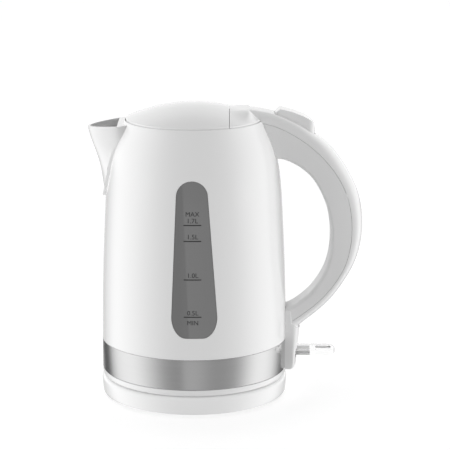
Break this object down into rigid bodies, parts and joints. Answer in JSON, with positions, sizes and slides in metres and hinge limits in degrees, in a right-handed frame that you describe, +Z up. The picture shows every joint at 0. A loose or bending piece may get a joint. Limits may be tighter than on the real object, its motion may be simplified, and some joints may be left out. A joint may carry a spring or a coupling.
{
  "type": "electric kettle",
  "caption": "Cordless jug kettle with a hinged lid, loop handle, level window, steel band and tilt switch, on a round plug-in base.",
  "frame": {"origin": "on the surface the base stands on, under the vertical axis of the base and the seated jug", "axes": "+Z up; +X from the jug's axis towards the handle, so the spout points to -X; the level window faces -Y"},
  "size_m": [0.2224, 0.1542, 0.2406],
  "materials": {
    "white_plastic": "glossy white polypropylene",
    "handle_plastic": "satin white polypropylene",
    "base_plastic": "semi-gloss white polypropylene",
    "brushed_steel": "horizontally brushed stainless steel",
    "spring_steel": "plain steel",
    "brass": "brass contacts",
    "black_plastic": "satin black nylon",
    "rubber": "grey rubber",
    "silicone": "translucent white silicone",
    "smoked_window": "smoked clear plastic",
    "clear_acrylic": "polished clear acrylic",
    "neon_lamp": "small glass neon lamp",
    "wire_insulation": "wire insulation",
    "filter_mesh": "fine nylon mesh"
  },
  "bodies": {
    "base": {"base_bottom_cover": "base_plastic", "base_connector": "black_plastic", "base_foot_1": "rubber", "base_foot_2": "rubber", "base_foot_3": "rubber", "base_foot_4": "rubber", "base_screw_1": "spring_steel", "base_screw_2": "spring_steel", "base_screw_3": "spring_steel", "base_terminal_block": "black_plastic", "base_top_cover": "base_plastic", "connector_pin_contact": "brass", "connector_ring_contact": "brass", "cord_gland": "rubber", "earth_wire": "wire_insulation", "live_wire": "wire_insulation", "neutral_wire": "wire_insulation"},
    "socket": {"power_socket": "black_plastic", "socket_pin": "brass", "socket_ring_blade": "brass"},
    "kettle": {"bimetal_disc_1": "brushed_steel", "bimetal_disc_2": "brushed_steel", "body_shell": "white_plastic", "button_spring": "spring_steel", "filter_frame": "white_plastic", "filter_mesh": "filter_mesh", "handle_cover": "white_plastic", "handle_frame": "handle_plastic", "handle_screw_lower": "spring_steel", "handle_screw_upper": "spring_steel", "heating_element": "spring_steel", "heating_plate": "brushed_steel", "indicator_lamp": "neon_lamp", "kettle_bottom_cover": "white_plastic", "kettle_screw_1": "spring_steel", "kettle_screw_2": "spring_steel", "kettle_screw_3": "spring_steel", "lever_pin": "spring_steel", "lid_hinge_pin": "spring_steel", "lid_spring": "spring_steel", "plate_seal": "silicone", "steam_switch": "black_plastic", "steam_tube": "handle_plastic", "steel_band": "brushed_steel", "thermal_controller": "black_plastic", "window_lens": "smoked_window"},
    "lid": {"lid_shell": "white_plastic", "lid_liner": "white_plastic", "lid_gasket": "silicone", "lid_catch": "white_plastic"},
    "lid_button": {"lid_button": "white_plastic"},
    "latch": {"latch_slider": "white_plastic"},
    "lever": {"switch_lever": "clear_acrylic"}
  },
  "joints": [
    {"name": "kettle_lift", "type": "slide", "parent": "base", "child": "socket", "axis": [0, 0, 1], "range_m": [0, 0.0532]},
    {"name": "kettle_swivel", "type": "hinge", "parent": "socket", "child": "kettle", "pos_m": [0, 0, 0.03], "axis": [0, 0, 1], "continuous": true},
    {"name": "lid_hinge", "type": "hinge", "parent": "kettle", "child": "lid", "pos_m": [0.0266, 0, 0.2349], "axis": [0, 1, 0], "range_deg": [0, 72]},
    {"name": "lid_button_press", "type": "slide", "parent": "kettle", "child": "lid_button", "axis": [0, 0, -1], "range_m": [0, 0.003], "stiffness_N_per_m": 500, "deforming": ["button_spring"]},
    {"name": "latch_slide", "type": "slide", "parent": "kettle", "child": "latch", "axis": [-1, 0, 0], "range_m": [0, 0.003]},
    {"name": "switch_tilt", "type": "hinge", "parent": "kettle", "child": "lever", "pos_m": [0.0795, 0, 0.0346], "axis": [0, 1, 0], "range_deg": [0, 12]}
  ],
  "couplings": [
    {"joint": "latch_slide", "follows": "lid_button_press", "ratio": 1}
  ]
}
